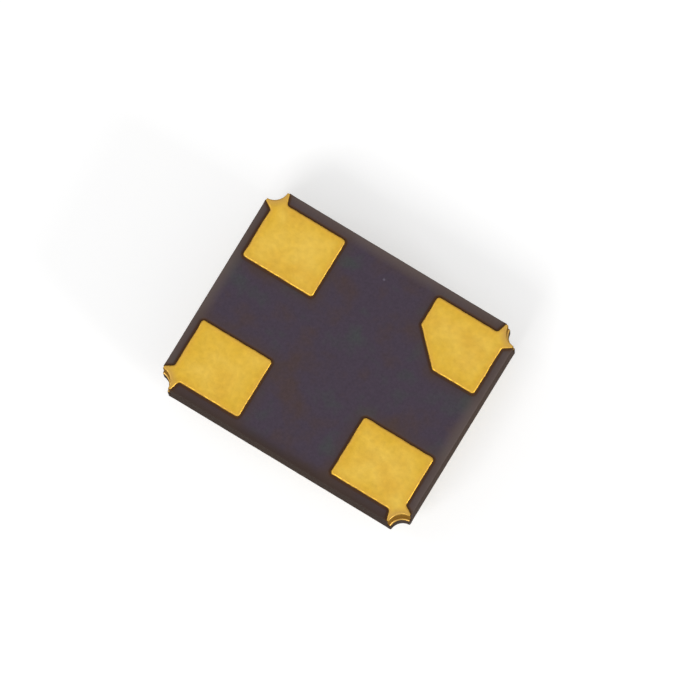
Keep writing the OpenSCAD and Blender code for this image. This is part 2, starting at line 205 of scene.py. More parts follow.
GROUPS = {
    "oscillator_ceramic": CeramicSettings,
    "oscillator_terminals": TerminalSettings,
    "oscillator_seal": SealSettings,
    "oscillator_lid": LidSettings,
    "oscillator_wires": WireSettings,
    "oscillator_stage": StageSettings,
}


class Sizes:
    """A settings group read in millimetres: lengths are scaled, and angles, counts and colours stay."""

    def __init__(self, group):
        for prop in group.bl_rna.properties:
            if prop.identifier in ("rna_type", "name"):
                continue
            value = getattr(group, prop.identifier)
            if prop.type == "FLOAT" and prop.is_array:
                value = tuple(value)
            elif prop.type == "FLOAT" and prop.unit == "LENGTH":
                value = value / MM
            setattr(self, prop.identifier, value)


def box_mm(node):
    """Lowest and highest corners of a CAD node's box, in millimetres."""
    return [np.array(corner / MM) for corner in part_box(node)]


# ---------------------------------------------------------------- outlines, in millimetres

def unit(vector):
    """The vector at length 1."""
    return vector / np.linalg.norm(vector)


def arc(centre, radius, start, end, steps):
    """Points on a circle from one angle to another, in degrees, both ends included."""
    angles = np.radians(np.linspace(start, end, steps + 1))
    return np.asarray(centre) + radius * np.column_stack([np.cos(angles), np.sin(angles)])


def rounded_rectangle(size, radius, steps=8):
    """Outline of a rectangle with round corners, anticlockwise."""
    half = np.array(size) / 2 - radius
    return np.vstack([
        arc(half * corner, radius, 90 * i, 90 * i + 90, steps) for i, corner in enumerate(CORNERS)])


def notched_rectangle(size, radius, steps=14):
    """Outline of a rectangle with a round notch at each corner, anticlockwise."""
    half = np.array(size) / 2
    return np.vstack([
        arc(half * corner, radius, 270 + 90 * i, 180 + 90 * i, steps) for i, corner in enumerate(CORNERS)])


def split_long(points, step, closed=True):
    """Adds points so that no side is longer than step."""
    out = []
    last = len(points) if closed else len(points) - 1
    for i in range(last):
        a, b = points[i], points[(i + 1) % len(points)]
        count = max(1, math.ceil(np.linalg.norm(b - a) / step))
        out += [a + (b - a) * k / count for k in range(count)]
    return np.array(out if closed else out + [points[-1]])


def round_corners(corners, steps=6):
    """A closed outline from corners (x, y, radius), each corner rounded by its radius."""
    out = []
    for i, (x, y, radius) in enumerate(corners):
        point = np.array([x, y])
        if radius == 0:
            out.append(point)
            continue
        before = unit(np.array(corners[i - 1][:2]) - point)
        after = unit(np.array(corners[(i + 1) % len(corners)][:2]) - point)
        half = math.acos(np.clip(before @ after, -1, 1)) / 2
        centre = point + unit(before + after) * radius / math.sin(half)
        reach = radius / math.tan(half)
        for share in np.linspace(0, 1, steps + 1):
            chord = (point + before * reach) * (1 - share) + (point + after * reach) * share
            out.append(centre + unit(chord - centre) * radius)
    return np.array(out)


def ease_turns(points, reach, steps):
    """Replaces each sharp turn of a closed outline with a short curve."""
    out = []
    for i, point in enumerate(points):
        before, after = unit(points[i - 1] - point), unit(points[(i + 1) % len(points)] - point)
        if before @ after < -math.cos(SHARP):
            out.append(point)
            continue
        start, end = point + before * reach, point + after * reach
        for share in np.linspace(0, 1, steps + 1):
            out.append(start * (1 - share) ** 2 + point * 2 * share * (1 - share) + end * share ** 2)
    return np.array(out)


def outward(points):
    """Mitred outward direction at each point of an anticlockwise outline."""
    side = np.roll(points, -1, axis=0) - points
    normal = np.column_stack([side[:, 1], -side[:, 0]]) / np.linalg.norm(side, axis=1)[:, None]
    before = np.roll(normal, 1, axis=0)
    return (normal + before) / (1 + np.sum(normal * before, axis=1))[:, None]


def inset(points, distance):
    """The outline moved inwards by a distance, or by a distance for each point."""
    return points - outward(points) * np.reshape(distance, (-1, 1))


def uneven(points, spacing, height):
    """A smooth random number from 0 to 1 at each point in plan, which changes over the spacing."""
    return np.array([
        0.5 + 0.5 * noise.noise(Vector((x / spacing, y / spacing, height / spacing))) for x, y in points])


def contains(outline, points):
    """Which points lie inside an outline."""
    points = np.asarray(points)
    a, b = outline, np.roll(outline, -1, axis=0)
    x, y = points[:, 0, None], points[:, 1, None]
    crosses = (a[:, 1] > y) != (b[:, 1] > y)
    rise = np.where(b[:, 1] == a[:, 1], 1, b[:, 1] - a[:, 1])
    at = a[:, 0] + (y - a[:, 1]) * (b[:, 0] - a[:, 0]) / rise
    return np.sum(crosses & (x < at), axis=1) % 2 == 1


def distance_to(outline, points):
    """Distance from each point to the nearest side of a closed outline."""
    points = np.asarray(points)
    a, b = outline, np.roll(outline, -1, axis=0)
    side = b - a
    square = np.maximum(np.sum(side * side, axis=1), 1e-12)
    offset = points[:, None, :] - a[None, :, :]
    share = np.clip(np.sum(offset * side, axis=2) / square, 0, 1)
    return np.sqrt(np.min(np.sum((offset - share[..., None] * side) ** 2, axis=2), axis=1))


def grid(size, step):
    """Points of a square grid, every other row shifted, that covers a rectangle round the origin."""
    rows = np.arange(-size[1] / 2, size[1] / 2, step)
    columns = np.arange(-size[0] / 2, size[0] / 2, step)
    return np.array([(x + step / 2 * (i % 2), y) for i, y in enumerate(rows) for x in columns])


def within(border, points, gap):
    """The points that lie inside a border, and farther from it than a gap."""
    points = points[contains(border, points)]
    return points[distance_to(border, points) > gap]


# ---------------------------------------------------------------- meshes, in millimetres

def add_loop(bm, outline, height):
    """Adds an outline's points at one height, or at a height each, as vertices."""
    heights = np.broadcast_to(height, len(outline))
    return [bm.verts.new((x, y, z)) for (x, y), z in zip(outline, heights)]


def bridge(bm, below, above, closed=True):
    """Joins two rows of vertices of one length with quads."""
    count = len(below)
    for i in range(count if closed else count - 1):
        j = (i + 1) % count
        bm.faces.new((below[i], below[j], above[j], above[i]))


def stack(bm, rows, wrap=False):
    """Joins rows of (outline, height), one after the other, and gives their vertices."""
    made = [add_loop(bm, outline, height) for outline, height in rows]
    for below, above in zip(made, made[1:] + made[:1] if wrap else made[1:]):
        bridge(bm, below, above)
    return made


def fill(bm, border, points, height):
    """Fills a border with triangles that use free points, at the height that a function gives."""
    sides = [(i, (i + 1) % len(border)) for i in range(len(border))]
    spots, _, faces, *_ = delaunay_2d_cdt([Vector(p) for p in (*border, *points)], sides, [], 1, JOIN / 10)
    spots = np.array(spots)
    verts = [bm.verts.new((x, y, z)) for (x, y), z in zip(spots, height(spots))]
    for face in faces:
        bm.faces.new([verts[i] for i in face])


def edge_profile(width, height, steps=5, support=0.004):
    """A rounded edge as (inset, drop) pairs from the wall up to the face, with a support beside it."""
    angles = np.linspace(0, math.pi / 2, steps + 1)
    curve = [(width * (1 - math.cos(a)), height * (1 - math.sin(a))) for a in angles]
    return [(0, height + support), *curve, (width + support, 0)]


def wall_section(low, high, profile, between=()):
    """A wall as (inset, height) pairs from bottom to top, both edges rounded by one profile."""
    return [
        *((d, low + drop) for d, drop in reversed(profile)),
        *((0, height) for height in between),
        *((d, high - drop) for d, drop in profile)]


def tidy(bm):
    """Merges doubles, drops loose points and turns every face outwards."""
    bmesh.ops.remove_doubles(bm, verts=bm.verts, dist=JOIN)
    bmesh.ops.delete(bm, geom=[v for v in bm.verts if not v.link_faces], context="VERTS")
    bmesh.ops.recalc_face_normals(bm, faces=bm.faces)


def link_object(name, data):
    """Puts an object for a mesh, a lamp or a camera in the scene."""
    made = bpy.data.objects.new(name, data)
    bpy.context.scene.collection.objects.link(made)
    return made


def to_object(name, bm):
    """A mesh object, still in millimetres, from a bmesh that is then freed."""
    tidy(bm)
    mesh = bpy.data.meshes.new(name)
    bm.to_mesh(mesh)
    bm.free()
    return link_object(name, mesh)


def settle(made):
    """Turns what an object's modifiers make into its own plain mesh."""
    bpy.context.view_layer.update()
    result = bpy.data.meshes.new_from_object(made.evaluated_get(bpy.context.evaluated_depsgraph_get()))
    made.modifiers.clear()
    made.data, old = result, made.data
    bpy.data.meshes.remove(old)
    result.name = made.name


def carve(target, outline, low, high):
    """Cuts a straight solid on an outline out of a closed mesh."""
    bm = bmesh.new()
    bottom, top = stack(bm, [(outline, low), (outline, high)])
    bm.faces.new(bottom)
    bm.faces.new(top)
    cutter = to_object("cutter", bm)
    modifier = target.modifiers.new("carve", "BOOLEAN")
    modifier.operation, modifier.solver, modifier.object = "DIFFERENCE", "EXACT", cutter
    settle(target)
    bpy.data.meshes.remove(cutter.data)


def points_mm(mesh):
    """A mesh's points as an array."""
    flat = np.empty(len(mesh.vertices) * 3)
    mesh.vertices.foreach_get("co", flat)
    return flat.reshape(-1, 3)


def paint(mesh, **layers):
    """Stores numbers at each point of a mesh under their names, for its material to read."""
    for name, values in layers.items():
        layer = mesh.attributes.new(name, "FLOAT", "POINT")
        layer.data.foreach_set("value", np.asarray(values, dtype=np.float32))


def finish_piece(made, material, slot, *nodes):
    """Scales a piece to metres, gives it its finish and lets it stand for its CAD nodes."""
    made.data.transform(Matrix.Scale(MM, 4))
    made.data.shade_smooth()
    made.data.set_sharp_from_angle(angle=SHARP)
    made.data.materials.clear()
    made.data.materials.append(material)
    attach(made, BODY)
    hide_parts(*nodes)


# ---------------------------------------------------------------- materials

def feed(node, sockets):
    """Gives each socket a value, or the output that feeds it; a node stands for its first output in use."""
    for key, value in sockets.items():
        if isinstance(value, bpy.types.Node):
            value = next(output for output in value.outputs if output.enabled)
        if isinstance(value, bpy.types.NodeSocket):
            node.id_data.links.new(value, node.inputs[key])
        else:
            node.inputs[key].default_value = value


def add(tree, kind, sockets=None, **settings):
    """Adds a node with its own settings, and feeds its sockets."""
    made = tree.nodes.new(kind)
    for field, value in settings.items():
        setattr(made, field, value)
    feed(made, sockets or {})
    return made


def start_material(name):
    """A new material: gives it back with its tree, its shader and the object coordinates."""
    made = bpy.data.materials.new(name)
    made.use_nodes = True
    tree = made.node_tree
    return made, tree, tree.nodes["Principled BSDF"], add(tree, "ShaderNodeTexCoord").outputs["Object"]


def per(size):
    """The scale at which a texture repeats about once every size millimetres."""
    return 1 / (size * MM)


def shade(tree, tint, pattern, darkest, lightest):
    """A colour made darker and lighter by a pattern, between two factors."""
    tone = add(tree, "ShaderNodeMapRange", {
        "Value": pattern, "From Min": 0.3, "From Max": 0.7, "To Min": darkest, "To Max": lightest})
    return add(tree, "ShaderNodeMix", {0: 1.0, 6: tint, 7: tone}, data_type="RGBA", blend_type="MULTIPLY")


def roughen(tree, shader, pattern, smoothest, roughest, relief, relief_mm, extra=0.0, where=0.0):
    """Lets a pattern vary the roughness and raise a relief, with extra roughness where a mask says."""
    dull = add(tree, "ShaderNodeMapRange", {
        "Value": pattern, "From Min": 0.3, "From Max": 0.7, "To Min": smoothest, "To Max": roughest})
    dull = add(tree, "ShaderNodeMath", {
        0: where, 1: extra, 2: dull}, operation="MULTIPLY_ADD", use_clamp=True)
    bump = add(tree, "ShaderNodeBump", {"Strength": relief, "Distance": relief_mm * MM, "Height": pattern})
    feed(shader, {"Roughness": dull, "Normal": bump})


def fired_alumina(sizes):
    """Co-fired alumina, coloured dark by metal oxides: a matt, finely granular purple-brown.

    The tape layers and the kiln leave faint warm and cool patches, and glass from the printed metal browns
    the ceramic in patches round each terminal. A narrow dark brown band of painted shade rings each terminal,
    painted light pales the face along three of its edges, and painted shade darkens the fourth edge and its
    wall.
    """
    made, tree, shader, spot = start_material("fired_alumina")
    stain, halo, margin, wall = (
        add(tree, "ShaderNodeAttribute", attribute_name=name).outputs["Fac"]
        for name in ("stain", "halo", "margin", "wall"))
    patch = add(tree, "ShaderNodeTexNoise", {
        "Vector": spot, "Scale": per(0.42), "Detail": 3, "Roughness": 0.6})
    face = sizes.body
    for start, full, tint in ((0.5, 0.68, sizes.warm), (0.46, 0.32, sizes.cool)):
        share = add(tree, "ShaderNodeMapRange", {
            "Value": patch, "From Min": start, "From Max": full, "To Max": 0.85})
        face = add(tree, "ShaderNodeMix", {0: share, 6: face, 7: tint}, data_type="RGBA")
    # grit of about 12 micrometres, drawn at twice that so that it shows
    grit = add(tree, "ShaderNodeTexNoise", {
        "Vector": spot, "Scale": per(0.024), "Detail": 4, "Roughness": 0.7})
    face = shade(tree, face, grit, 0.86, 1.14)
    # pale grains of alumina, in about one cell of eleven
    bare_share = 0.91
    cells = add(tree, "ShaderNodeTexVoronoi", {"Vector": spot, "Scale": per(0.16)})
    rare = add(tree, "ShaderNodeSeparateColor", {"Color": cells.outputs["Color"]})
    chosen = add(tree, "ShaderNodeMath", {0: rare, 1: bare_share}, operation="GREATER_THAN")
    near = add(tree, "ShaderNodeMapRange", {
        "Value": cells, "From Min": 0.11, "From Max": 0.05, "To Max": 0.5})
    grain = add(tree, "ShaderNodeMath", {0: chosen, 1: near}, operation="MULTIPLY")
    # the outer wall is torn and chalky, with a faint line where two tape layers were pressed together
    torn = add(tree, "ShaderNodeTexNoise", {
        "Vector": spot, "Scale": per(0.11), "Detail": 4, "Roughness": 0.65})
    side = shade(tree, shade(tree, sizes.broken, torn, 0.86, 1.14), grit, 0.86, 1.14)
    # painted shade: the wall along the -Y side is darkened
    fourth = add(tree, "ShaderNodeMath", {0: margin, 1: -1}, operation="MULTIPLY")
    side = add(tree, "ShaderNodeMix", {0: fourth, 6: side, 7: sizes.painted_shade}, data_type="RGBA")
    height = add(tree, "ShaderNodeSeparateXYZ", {"Vector": spot}).outputs["Z"]
    waver, half_line = 0.02, 0.0035  # how far a joint line strays and half its width, in millimetres
    height = add(tree, "ShaderNodeMath", {0: patch, 1: waver * MM, 2: height}, operation="MULTIPLY_ADD")
    rim_z = box_mm("ceramic_base")[0][2] + sizes.rim_layer
    for joint in (rim_z, box_mm("terminal_enable")[0][2], rim_z + sizes.shelf_layer + sizes.bond_layer):
        line = add(tree, "ShaderNodeMath", {
            0: height, 1: (joint + waver / 2) * MM, 2: half_line * MM}, operation="COMPARE")
        line = add(tree, "ShaderNodeMath", {0: line, 1: 0.5}, operation="MULTIPLY")
        side = add(tree, "ShaderNodeMix", {0: line, 6: side, 7: sizes.joint}, data_type="RGBA")
    # painted light makes the face paler along three of its edges and painted shade darkens it along the
    # fourth, on the -Y side; painted shade also darkens the ceramic right beside each terminal
    bled = add(tree, "ShaderNodeMath", {0: halo, 1: patch}, operation="MULTIPLY")
    for share, tint in (
            (grain, sizes.grain), (margin, sizes.painted_light), (fourth, sizes.painted_shade), (wall, side),
            (bled, sizes.bled), (stain, sizes.stain)):
        face = add(tree, "ShaderNodeMix", {0: share, 6: face, 7: tint}, data_type="RGBA")
    roughen(tree, shader, grit, 0.58, 0.74, 0.5, 0.004, extra=0.4, where=wall)
    feed(shader, {"Base Color": face, "Specular IOR Level": 0.12})
    return made


def plated_gold(sizes):
    """Matt electroplated gold over nickel on fired tungsten paste: satin, cloudy and finely mottled.

    Painted shade darkens the rounded rim, which is also rougher there, and the edges of each land, and a
    painted sheen pales the middle of each land; the thinner gold on the notch wall lets the nickel show
    through.
    """
    made, tree, shader, spot = start_material("plated_gold")
    middle, rim, wall = (
        add(tree, "ShaderNodeAttribute", attribute_name=name).outputs["Fac"]
        for name in ("middle", "rim", "wall"))
    cloud = add(tree, "ShaderNodeTexNoise", {
        "Vector": spot, "Scale": per(0.3), "Detail": 3, "Roughness": 0.55})
    # painted sheen: the gold is paler towards the middle of each land, mixed with random cloudy tone
    smooth = add(tree, "ShaderNodeMath", {0: middle, 1: 0.3, 2: cloud}, operation="MULTIPLY_ADD")
    smooth = add(tree, "ShaderNodeMapRange", {"Value": smooth, "From Min": 0.48, "From Max": 0.86})
    thick = add(tree, "ShaderNodeTexNoise", {
        "Vector": spot, "Scale": per(0.27), "Detail": 1, "Roughness": 0.5})
    thick = add(tree, "ShaderNodeMapRange", {
        "Value": thick, "From Min": 0.5, "From Max": 0.76, "To Max": 0.55})
    # painted shade: the gold is darkened towards the edges of each land
    painted_edge_shade = add(tree, "ShaderNodeMapRange", {
        "Value": middle, "From Max": 0.35, "To Min": 0.55, "To Max": 0})
    face = sizes.gold
    for share, tint in ((smooth, sizes.pale), (thick, sizes.deep_and_shade), (painted_edge_shade, sizes.deep_and_shade)):
        face = add(tree, "ShaderNodeMix", {0: share, 6: face, 7: tint}, data_type="RGBA")
    # crystals of plated gold grow in clumps of about 20 micrometres, drawn at twice that so that they show
    clumps = add(tree, "ShaderNodeTexNoise", {
        "Vector": spot, "Scale": per(0.045), "Detail": 4, "Roughness": 0.65})
    face = shade(tree, face, clumps, 0.95, 1.04)
    # painted shade: the rounded rim is darkened in clumps, and made rougher there
    shaded_and_rough = add(tree, "ShaderNodeMapRange", {
        "Value": clumps, "From Min": 0.38, "From Max": 0.6, "To Min": 0.25})
    shaded_and_rough = add(tree, "ShaderNodeMath", {0: rim, 1: shaded_and_rough}, operation="MULTIPLY")
    for share, tint in ((shaded_and_rough, sizes.rim), (wall, sizes.wall)):
        face = add(tree, "ShaderNodeMix", {0: share, 6: face, 7: tint}, data_type="RGBA")
    roughen(tree, shader, clumps, 0.34, 0.46, 0.35, 0.004, extra=0.3, where=shaded_and_rough)
    # the rough plating keeps its colour at a grazing angle
    feed(shader, {"Base Color": face, "Specular Tint": face, "Metallic": 1})
    return made


def rolled_nickel(sizes):
    """Nickel plate on a rolled nickel-iron-cobalt sheet: silky, with fine grooves along the rolling."""
    made, tree, shader, spot = start_material("rolled_nickel")
    along = add(tree, "ShaderNodeMapping", {"Vector": spot, "Scale": (0.06, 1, 1)})
    grooves = add(tree, "ShaderNodeTexNoise", {
        "Vector": along, "Scale": per(0.018), "Detail": 4, "Roughness": 0.7})
    roughen(tree, shader, grooves, 0.24, 0.4, 0.3, 0.002)
    feed(shader, {"Base Color": shade(tree, sizes.nickel, grooves, 0.88, 1.05), "Metallic": 1})
    return made


def grained(name, dark, light, grain, roughness, metallic=0.0, relief_mm=0.0015):
    """A finish of two near tones in grains of one size, for a plain fired, glued, drawn or plated piece."""
    made, tree, shader, spot = start_material(name)
    grains = add(tree, "ShaderNodeTexNoise", {
        "Vector": spot, "Scale": per(grain), "Detail": 3, "Roughness": 0.6})
    share = add(tree, "ShaderNodeMapRange", {"Value": grains, "From Min": 0.32, "From Max": 0.68})
    tint = add(tree, "ShaderNodeMix", {0: share, 6: dark, 7: light}, data_type="RGBA")
    roughen(tree, shader, grains, roughness - 0.05, roughness + 0.05, 0.4, relief_mm)
    feed(shader, {"Base Color": tint, "Metallic": metallic})
    return made


def lapped_quartz():
    """Lapped and etched quartz: clear, with a fine frost left by the lapping grit."""
    made = grained("lapped_quartz", linear("#e6f0ee"), linear("#f4fbf8"), 0.02, 0.2)
    feed(made.node_tree.nodes["Principled BSDF"], {"Transmission Weight": 0.9, "IOR": 1.54})
    return made


# ---------------------------------------------------------------- pieces

def land_outline(sizes, notch_r, has_index):
    """Outline of the terminal at +X +Y with its neck, and how many of its points lie before the notch."""
    x0, y0 = box_mm("terminal_enable")[0][:2]
    x1, y1 = x0 + sizes.pad_l, y0 + sizes.pad_w
    side_x, side_y = box_mm("ceramic_base")[1][:2]
    lean = math.degrees(math.asin(sizes.neck_gap / notch_r))
    mouth = arc((side_x, side_y), notch_r - sizes.plating, 270 - lean, 180 + lean, 12)
    reach = notch_r + sizes.neck_collar
    soft, tight = sizes.corner_r, sizes.neck_collar / 2
    inner = [(x0, y0, soft)]
    if has_index:
        inner = [(x0, y0 + sizes.index_cut, soft), (x0 + sizes.index_cut, y0, soft)]
    edge = round_corners([
        (*mouth[-1], 0),
        (side_x - reach, side_y - sizes.neck_gap, tight),
        (x1 - sizes.neck_run, y1, soft),
        (x0, y1, soft),
        *inner,
        (x1, y0, soft),
        (x1, y1 - sizes.neck_run, soft),
        (side_x - sizes.neck_gap, side_y - reach, tight),
        (*mouth[0], 0),
    ])
    edge = split_long(edge, 0.03, closed=False)
    return np.vstack([edge, mouth[1:-1]]), len(edge)


def terminal_mesh(sizes, notch_r, ledge_w, has_index, seed):
    """One terminal at +X +Y: a printed land with a rounded edge, and the plating down the notch wall."""
    outline, before_arc = land_outline(sizes, notch_r, has_index)
    low, high = box_mm("terminal_enable")
    z_top, z_end = high[2], low[2]
    centre, z_base = box_mm("ceramic_base")[1][:2], box_mm("ceramic_base")[1][2]
    sink = 0.003  # how far the land reaches down into the trough round it

    # the printed edge is ragged, except beside the notch, and its rounding narrows where the notch cuts it
    stray, smooth_w, ramp_w = 0.007, 0.03, 0.05
    away = np.linalg.norm(outline - centre, axis=1) - notch_r
    ragged = stray * np.clip((away - smooth_w) / ramp_w, 0, 1) * uneven(outline, 0.05, seed)
    edge = inset(outline, ragged)
    tip_w, tip_share = 0.06, 0.25
    tips = np.linalg.norm(outline[:, None] - outline[[0, before_arc - 1]], axis=2).min(axis=1)
    narrow = np.clip(tips / tip_w, tip_share, 1)
    bm = bmesh.new()
    rows = [(edge, z_base - sink)]
    for d, drop in edge_profile(sizes.edge_w, sizes.edge_h, support=0.001):
        rows.append((inset(edge, d * narrow), z_top - drop))
    made = stack(bm, rows)
    border = rows[-1][0]
    span = outline.max(axis=0) - outline.min(axis=0)
    free = grid(span, 0.022) + (outline.min(axis=0) + outline.max(axis=0)) / 2

    def relief(spots):
        """Height of the land: a shallow, uneven dish, level at its border."""
        slope_w, least, swell, swell_w = 0.12, 0.0003, 0.0018, 0.11
        dish = np.minimum(distance_to(border, spots) / slope_w, 1)
        return z_top - dish * (least + swell * uneven(spots, swell_w, seed * swell_w))

    fill(bm, border, within(border, free, 0.009), relief)

    # plating down the notch wall, ending in a thin foot that has run out over the ledge
    front = made[0][before_arc - 1:] + made[0][:1]
    plan = np.array([v.co.xy for v in front])
    ray = (plan - centre) / np.linalg.norm(plan - centre, axis=1)[:, None]
    face_r = notch_r - sizes.plating
    back_r = notch_r + 0.0015  # just inside the ceramic
    foot_r = notch_r - ledge_w + 0.003  # just short of the ledge's lip
    foot_z, bend_h = z_end + 0.004, 0.02
    wall = [(face_r, z) for z in np.linspace(z_base, foot_z + 2 * bend_h, 5)[1:]]
    bend = [
        (foot_r + (face_r - foot_r) * math.sin(a), foot_z + bend_h * (1 - math.cos(a)))
        for a in np.linspace(math.pi / 2, 0, 5)]
    rows = [front]
    for reach, height in (*wall, *bend, (foot_r, z_end), (back_r, z_end), (back_r, z_base - sink)):
        rows.append(add_loop(bm, centre + ray * reach, height))
    for above, below in zip(rows, rows[1:]):
        bridge(bm, above, below, closed=False)
    for k in (0, -1):
        bm.faces.new([row[k] for row in rows])
    bm.faces.new(made[0][:before_arc] + rows[-1])
    return bm


def build_terminals(sizes, notch_r, ledge_w):
    """The four terminals by name, each made at +X +Y and mirrored to its corner."""
    made = {}
    for seed, (name, signs) in enumerate(QUADRANTS.items()):
        bm = terminal_mesh(sizes, notch_r, ledge_w, name == "enable", seed * 5.3 + 1)
        bm.transform(Matrix.Diagonal((*signs, 1, 1)))
        made[name] = to_object(f"{name}_terminal", bm)
        spots = points_mm(made[name].data)
        plan = spots[:, :2] * signs
        outline, _ = land_outline(sizes, notch_r, name == "enable")
        depth = distance_to(outline, plan)
        drop = box_mm("terminal_enable")[1][2] - spots[:, 2]
        face = drop < sizes.edge_h + 0.002
        to_notch = np.linalg.norm(plan - box_mm("ceramic_base")[1][:2], axis=1) - notch_r
        thinned = np.interp(to_notch, (0, 0.06), (0.75, 0))
        # middle carries the painted sheen and the painted edge shade, rim the painted shade along the rounded
        # edge
        paint(
            made[name].data,
            middle=np.clip(depth / 0.22, 0, 1) * face,
            rim=np.interp(depth, (0.004, 0.012, 0.018, 0.03), (0, 1, 0.6, 0)) * face,
            wall=np.maximum(np.clip((drop - 0.01) / 0.02, 0, 1), thinned))
    return made


def carve_cavity(made, sizes, low, size):
    """Cuts the crystal's chamber, the well between its shelves and the chip pocket out of the ceramic."""
    chamber = size - 2 * sizes.wall
    well = chamber - (sizes.mount_shelf + sizes.rest_shelf, 0)
    pocket = well - (2 * sizes.pocket_ledge, 2 * sizes.bond_shelf)
    shift = np.array([(sizes.mount_shelf - sizes.rest_shelf) / 2, 0])
    start, floor = low[2] - 0.05, low[2]  # every cut starts clear of the open side
    for hole, middle, layer in (
            (chamber, 0, sizes.rim_layer),
            (well, shift, sizes.shelf_layer),
            (pocket, shift, sizes.bond_layer)):
        floor += layer
        carve(made, rounded_rectangle(hole, sizes.cavity_r) + middle, start, floor)


def build_ceramic(sizes, land_sizes):
    """The fired ceramic: stepped notches, a lightly uneven face with troughs round the lands, a cavity."""
    low, high = box_mm("ceramic_base")
    size = (high - low)[:2]
    outline = ease_turns(split_long(notched_rectangle(size, sizes.notch_r), 0.03), 0.014, 3)
    from_corner = outline - np.where(outline < 0, low[:2], high[:2])
    reach = np.linalg.norm(from_corner, axis=1)
    snapped = np.clip((reach - sizes.notch_r - 0.012) / 0.03, 0, 1)
    # next to the lid the notches are narrower, and the outline is drawn towards each corner to match
    fade = 0.1  # how far past the notch that pull dies away
    pull = sizes.ledge_w * np.clip((sizes.notch_r + fade - reach) / fade, 0, 1)
    narrow = outline - from_corner * (pull / reach)[:, None]

    def wall_depth(height):
        """How far the wall lies in from its outline: blade-cut near both faces, broken between them."""
        cut = 1 - min(height - low[2], high[2] - height) / sizes.score_h
        if cut > 0:
            return cut * sizes.score_d * (0.6 + 0.4 * uneven(outline, 0.05, height)) * snapped
        coarse, fine = uneven(outline, 0.09, height), uneven(outline, 0.03, height + 5)
        return sizes.broken_d * np.clip(0.7 * coarse + 0.5 * fine - 0.25, 0, 1) * snapped

    def rows_between(start, end):
        """Heights of the wall's rows, 0.024 apart, between two rows that are there already."""
        return np.arange(start + 0.02, end - 0.01, 0.024)

    rounded = edge_profile(sizes.edge_r, sizes.edge_r)
    bend = rounded[0][1]
    ledge_z = box_mm("terminal_enable")[0][2]
    half_step = 0.0015  # half the height in which the notch steps out at its ledge
    section = wall_section(low[2], high[2], rounded, (
        *rows_between(low[2] + bend, ledge_z), ledge_z - half_step, ledge_z + half_step,
        *rows_between(ledge_z, high[2] - bend)))
    bm = bmesh.new()
    rows = stack(bm, [
        (inset(outline if z > ledge_z else narrow, d + wall_depth(z)), z) for d, z in section])
    bm.faces.new(rows[0])
    border = inset(outline, section[-1][0] + wall_depth(high[2]))

    lands = []
    for signs in QUADRANTS.values():
        edge, _ = land_outline(land_sizes, sizes.notch_r, signs == QUADRANTS["enable"])
        lands.append(edge * signs if signs[0] == signs[1] else (edge * signs)[::-1])
    across = (-0.004, 0.001, 0.005, 0.01, 0.016, 0.022, sizes.trough)  # rows of points along each trough
    free = [grid(size, 0.045)] + [inset(split_long(edge, 0.02), -gap) for edge in lands for gap in across]

    def land_gap(spots):
        """Signed distance from the nearest land's edge, less than 0 under the land."""
        return np.min([
            distance_to(edge, spots) * np.where(contains(edge, spots), -1, 1) for edge in lands], axis=0)

    def relief(spots):
        """Height of the face: sunk in the troughs, lightly uneven between them and level at its border."""
        level_w, swell, swell_w = 0.03, 0.0016, 0.16
        inside = np.clip(distance_to(border, spots) / level_w, 0, 1)
        sunk = np.interp(land_gap(spots), (0, 0.004, 0.012, sizes.trough), (0, 1, 0.8, 0))
        return high[2] - inside * (sunk * sizes.trough_depth + swell * uneven(spots, swell_w, 1.2))

    fill(bm, border, within(border, np.vstack(free), 0.006), relief)
    made = to_object("ceramic_body", bm)
    carve_cavity(made, sizes, low, size)

    spots = points_mm(made.data)
    plan, height = spots[:, :2], spots[:, 2]
    top = height > high[2] - 2 * sizes.edge_r
    gap = land_gap(plan)
    # painted light and shade along the face's edges: paler along the +X, +Y and -X edges, darker along the -Y
    # edge and its wall
    to_sides = np.hstack([high[:2] - plan, plan - low[:2]])
    margin = np.interp(to_sides.min(axis=1), (0.02, 0.11), (0.9, 0)) * np.where(top, 1, 0.8)
    outer = np.minimum(distance_to(outline, plan), distance_to(narrow, plan)) < 2 * sizes.edge_r
    paint(
        made.data,
        # painted shade right beside each land
        stain=np.interp(gap, (-0.01, 0, 0.01, sizes.trough), (0.95, 0.95, 0.85, 0)) * top,
        halo=np.interp(gap, (0, 0.13), (1, 0)) * top,
        margin=np.where(to_sides.argmin(axis=1) == 3, -margin, margin),  # less than 0 along the -Y side
        wall=outer & (height < high[2] - sizes.edge_r) & (height > low[2] + sizes.edge_r))
    return made


def hollow_section(low, high, run_out):
    """A hollow fillet as (inset, height) pairs, from the ring's foot down to the land it runs out on."""
    return [
        (run_out * math.cos(a), low + (high - low) * (1 - math.sin(a)))
        for a in np.linspace(0, math.pi / 2, 6)]


def build_frame(name, node, rail, outer_r, mouth_r, section):
    """A closed rounded frame that fills a CAD node's box in plan; section gives both its walls."""
    low, high = box_mm(node)
    size = (high - low)[:2]
    outer, mouth = rounded_rectangle(size, outer_r, 12), rounded_rectangle(size - 2 * rail, mouth_r, 12)
    rows = [(inset(outer, d), z) for d, z in section] + [(inset(mouth, -d), z) for d, z in reversed(section)]
    bm = bmesh.new()
    stack(bm, rows, wrap=True)
    return to_object(name, bm)


